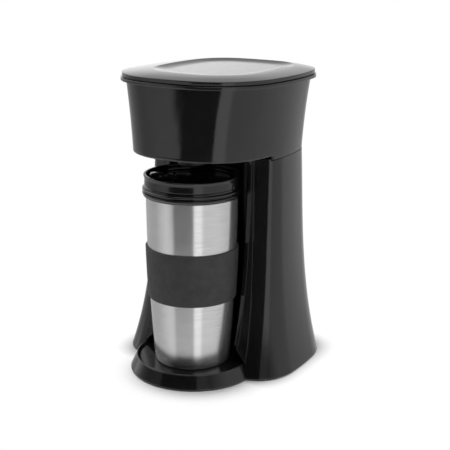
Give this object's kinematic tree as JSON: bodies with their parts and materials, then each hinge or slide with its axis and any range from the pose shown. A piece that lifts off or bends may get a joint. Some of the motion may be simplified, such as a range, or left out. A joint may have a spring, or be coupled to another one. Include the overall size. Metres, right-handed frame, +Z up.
{
  "type": "drip coffee maker",
  "caption": "Single-cup drip coffee maker: flared black tower with an overhanging brew head and hinged lid, a round tray, and a steel travel mug with a rubber grip in its niche.",
  "frame": {"origin": "middle of the plan's bounding box, on the plane the feet rest on", "axes": "+Z up, front of the machine and its mug toward -Y, +X to the right seen from the front"},
  "size_m": [0.1698, 0.185, 0.266],
  "materials": {
    "gloss_black": "smooth gloss moulded black plastic",
    "satin_black": "fine satin moulded black plastic",
    "mug_black": "satin black plastic of the mug's collar and lid",
    "mug_steel": "vertically drawn, circumferentially brushed stainless steel",
    "grip_rubber": "soft matte black rubber",
    "foot_rubber": "dark grey rubber",
    "tank_plastic": "smoke grey moulded plastic",
    "filter_nylon": "fine brown nylon mesh in a moulded ring",
    "silicone": "milky silicone",
    "boiler_alloy": "extruded aluminium",
    "plain_steel": "zinc plated steel",
    "white_plastic": "heat-proof white plastic",
    "wire_sleeve": "woven glass sleeve",
    "lamp_red": "translucent red lens"
  },
  "bodies": {
    "body": {"head_shell": "gloss_black", "lid_hinge_pins": "plain_steel", "head_floor": "satin_black", "tower_shell": "gloss_black", "niche_liner": "gloss_black", "pillar_cheeks": "gloss_black", "tray": "gloss_black", "bottom_cover": "satin_black", "feet": "foot_rubber", "cover_screws": "plain_steel", "filter_basket": "satin_black", "mesh_filter": "filter_nylon", "water_tank": "tank_plastic", "boiler": "boiler_alloy", "heating_element": "plain_steel", "boiler_straps": "plain_steel", "strap_screws": "plain_steel", "thermostat": "white_plastic", "thermal_fuse": "plain_steel", "hot_hose": "silicone", "cold_hoses": "silicone", "check_valve": "white_plastic", "spreader": "satin_black", "terminal_block": "white_plastic", "wires": "wire_sleeve", "cord_gland": "foot_rubber", "switch_frame": "satin_black"},
    "lid": {"lid": "gloss_black"},
    "rocker": {"switch_rocker": "satin_black", "rocker_lens": "lamp_red"},
    "mug": {"mug_shell": "mug_steel", "mug_base_pad": "grip_rubber", "mug_liner": "mug_steel", "mug_grip": "grip_rubber", "mug_collar": "mug_black"},
    "mug_lid": {"mug_lid": "mug_black", "mug_lid_seal": "silicone"},
    "mug_closure": {"mug_closure": "mug_black"}
  },
  "joints": [
    {"name": "lid_hinge", "type": "hinge", "parent": "body", "child": "lid", "pos_m": [0, 0.0826, 0.2602], "axis": [-1, 0, 0], "range_deg": [0, 98]},
    {"name": "power_rocker", "type": "hinge", "parent": "body", "child": "rocker", "pos_m": [-0.0639, 0.012, 0.168], "axis": [0, -1, 0], "range_deg": [0, 16]},
    {"name": "mug_out", "type": "slide", "parent": "body", "child": "mug", "axis": [0, -0.9942, 0.1078], "range_m": [0, 0.16]},
    {"name": "mug_lid_turn", "type": "hinge", "parent": "mug", "child": "mug_lid", "pos_m": [0, -0.038, 0.17], "axis": [0, 0, 1], "range_deg": [0, 90]},
    {"name": "closure_slide", "type": "slide", "parent": "mug_lid", "child": "mug_closure", "axis": [0.8517, 0.524, 0], "range_m": [0, 0.011]}
  ]
}
